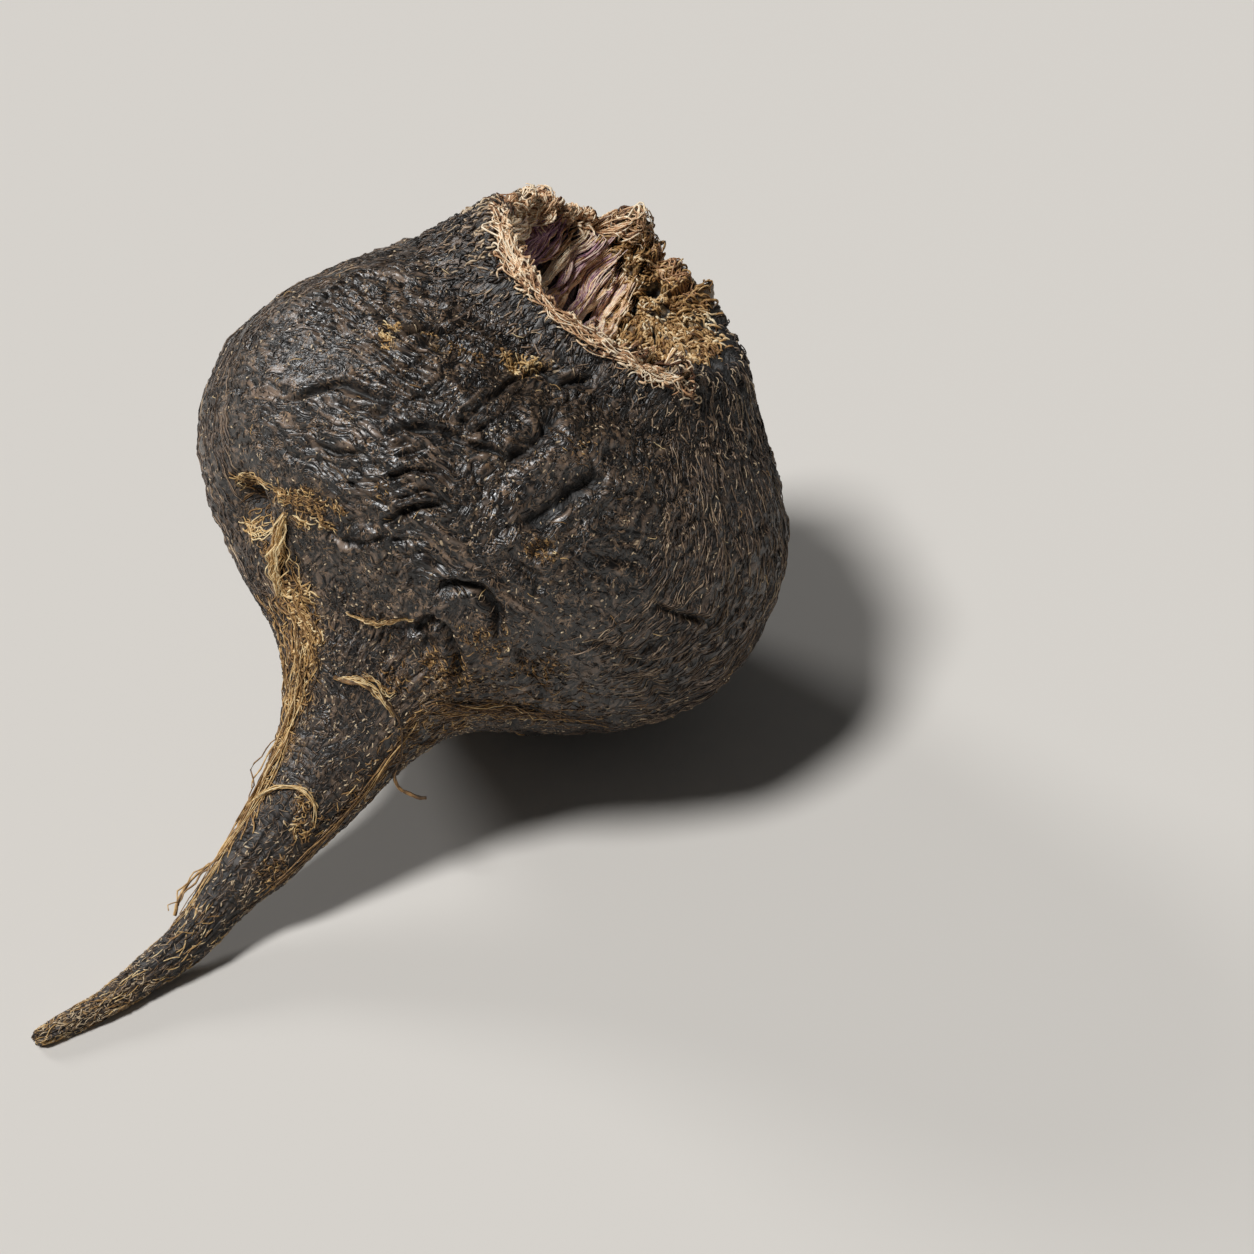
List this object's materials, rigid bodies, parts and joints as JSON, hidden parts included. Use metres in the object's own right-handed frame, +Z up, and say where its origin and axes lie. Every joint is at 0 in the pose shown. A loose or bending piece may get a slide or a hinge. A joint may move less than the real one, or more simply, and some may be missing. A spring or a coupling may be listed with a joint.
{
  "type": "maca root",
  "caption": "Whole fresh black maca root: squat lobed body with a dished leaf-scar crown and a long curved tap root, lying on its side.",
  "frame": {"origin": "on the surface that the root lies on, under the middle of its bounding box", "axes": "+Z up from the surface; +X and +Y lie in it, with the tap root running towards -X and -Y"},
  "size_m": [0.0604, 0.0692, 0.0466],
  "materials": {
    "root_skin": "near-black wrinkled root skin with a waxy grey sheen and tan fibres"
  },
  "bodies": {
    "root": {"maca_root": "root_skin"}
  },
  "joints": []
}
